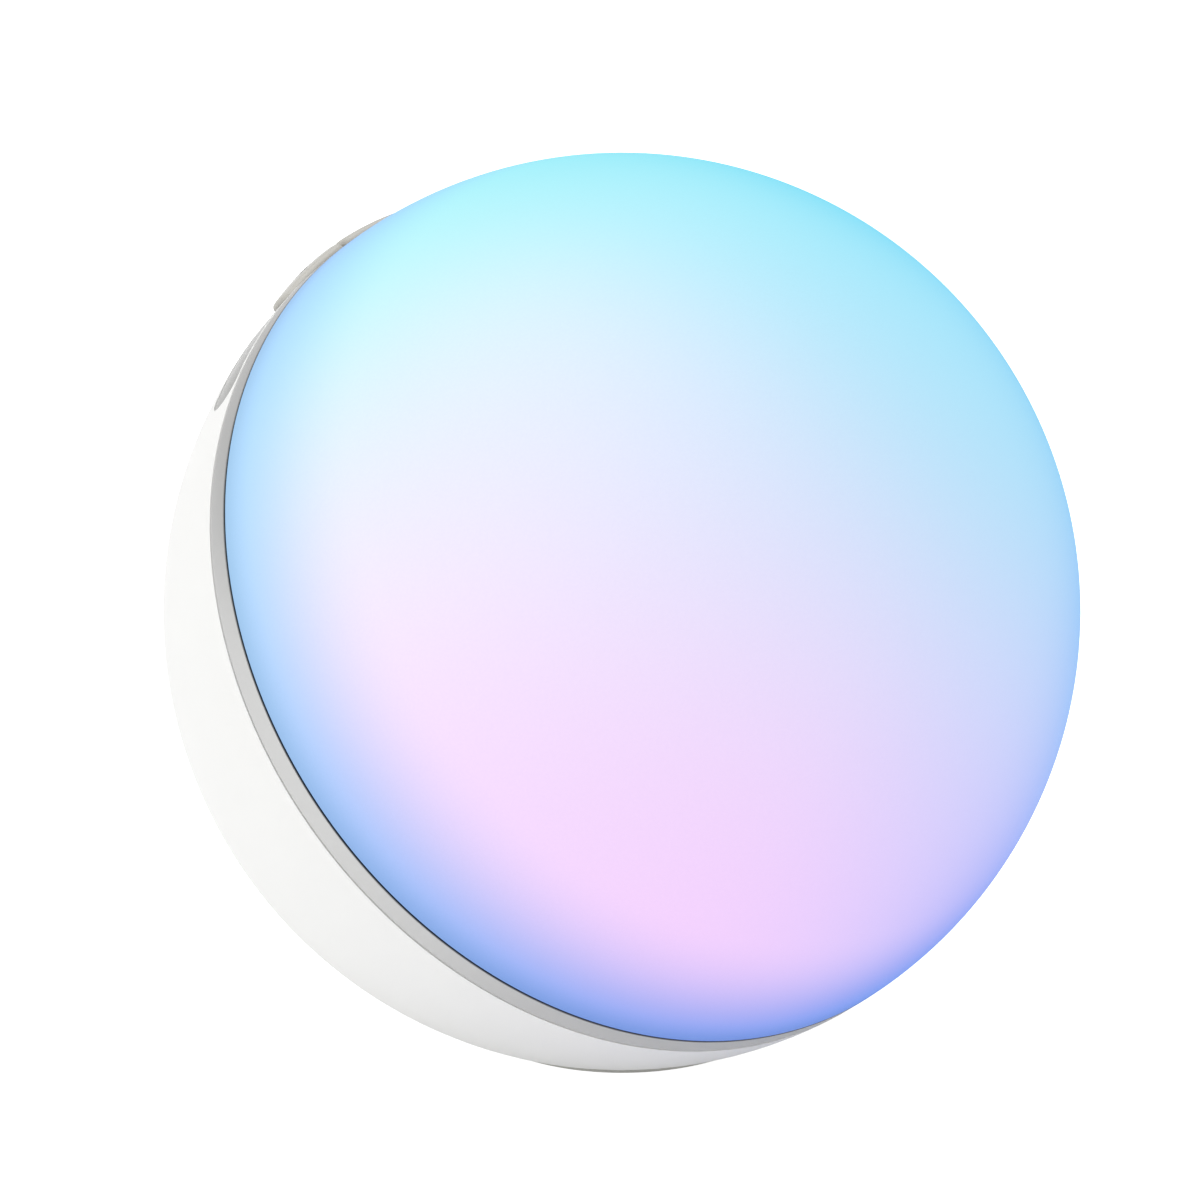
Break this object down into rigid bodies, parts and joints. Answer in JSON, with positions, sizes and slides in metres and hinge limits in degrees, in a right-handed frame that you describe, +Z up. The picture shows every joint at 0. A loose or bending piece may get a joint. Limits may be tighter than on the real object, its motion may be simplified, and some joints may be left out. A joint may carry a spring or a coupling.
{
  "type": "globe lamp speaker",
  "caption": "Globe-shaped bedside lamp with a glowing frosted dome, satin band, white rear shell, raised top keys and a speaker firing from the back.",
  "frame": {"origin": "bottom centre of the foot ring, on the table under the globe's centre", "axes": "+Z up; -Y is the level direction that the light dome faces, with its axis 39 degrees above it; +X to the right of someone who looks at the dome"},
  "size_m": [0.16, 0.1599, 0.155],
  "materials": {
    "diffuser": "frosted, lit from inside",
    "band": "satin",
    "shell_white": "satin",
    "grille_white": "satin",
    "strip_grey": "satin",
    "key_grey": "satin",
    "silicone": "matte",
    "rubber_black": "matte",
    "part_black": "satin",
    "board_green": "satin",
    "board_white": "satin",
    "inner_white": "matte",
    "led_yellow": "satin",
    "spreader": "satin",
    "steel": "satin",
    "iron": "matte",
    "ferrite": "matte",
    "gold": "satin",
    "coil": "satin",
    "paper_black": "matte",
    "cloth": "matte",
    "lead_red": "satin",
    "lead_black": "satin",
    "flex": "satin"
  },
  "bodies": {
    "case": {"front_diffuser": "diffuser", "trim_ring": "band", "rear_shell": "shell_white", "control_strip": "strip_grey", "key_mat": "silicone", "key_switches": "part_black", "key_board": "board_green", "key_bracket": "part_black", "mic_modules": "gold", "mic_gaskets": "rubber_black", "mid_frame": "inner_white", "heat_spreader": "spreader", "led_board": "board_white", "leds": "led_yellow", "reflector": "inner_white", "diffuser_sheet": "inner_white", "main_board": "board_green", "shield_cans": "steel", "board_chips": "part_black", "board_connectors": "inner_white", "antenna_board": "board_green", "antenna_lead": "lead_black", "port_board": "board_green", "usb_c_port": "steel", "usb_c_tongue": "part_black", "port_lead": "lead_black", "speaker_grille": "grille_white", "grille_cloth": "cloth", "speaker_gasket": "rubber_black", "speaker_basket": "part_black", "top_plate": "steel", "magnet": "ferrite", "yoke": "steel", "surround": "rubber_black", "spider": "cloth", "speaker_terminals": "gold", "speaker_wire": "lead_red", "speaker_chamber": "part_black", "ballast_weight": "iron", "base_plate": "shell_white", "foot_ring": "silicone", "frame_screws": "steel", "light_screws": "steel", "board_screws": "steel", "speaker_screws": "steel", "chamber_screws": "steel", "base_screws": "steel", "led_lead": "lead_red", "key_flex": "flex"},
    "key_light_cap": {"key_light": "key_grey"},
    "key_minus_cap": {"key_minus": "key_grey"},
    "key_plus_cap": {"key_plus": "key_grey"},
    "key_play_cap": {"key_play": "key_grey"},
    "cone_assembly": {"speaker_cone": "paper_black", "dust_cap": "paper_black", "voice_coil": "coil"}
  },
  "joints": [
    {"name": "key_light_press", "type": "slide", "parent": "case", "child": "key_light_cap", "axis": [0.3297, -0.5941, -0.7337], "range_m": [0, 0.0005], "stiffness_N_per_m": 3200, "deforming": ["key_mat"]},
    {"name": "key_minus_press", "type": "slide", "parent": "case", "child": "key_minus_cap", "axis": [0.1114, -0.6254, -0.7723], "range_m": [0, 0.0005], "stiffness_N_per_m": 3200, "deforming": ["key_mat"]},
    {"name": "key_plus_press", "type": "slide", "parent": "case", "child": "key_plus_cap", "axis": [-0.1114, -0.6254, -0.7723], "range_m": [0, 0.0005], "stiffness_N_per_m": 3200, "deforming": ["key_mat"]},
    {"name": "key_play_press", "type": "slide", "parent": "case", "child": "key_play_cap", "axis": [-0.3297, -0.5941, -0.7337], "range_m": [0, 0.0005], "stiffness_N_per_m": 3200, "deforming": ["key_mat"]},
    {"name": "cone_travel", "type": "slide", "parent": "case", "child": "cone_assembly", "axis": [0, 0.7771, -0.6293], "range_m": [-0.0015, 0.0015], "stiffness_N_per_m": 2000, "deforming": ["surround", "spider"]}
  ]
}
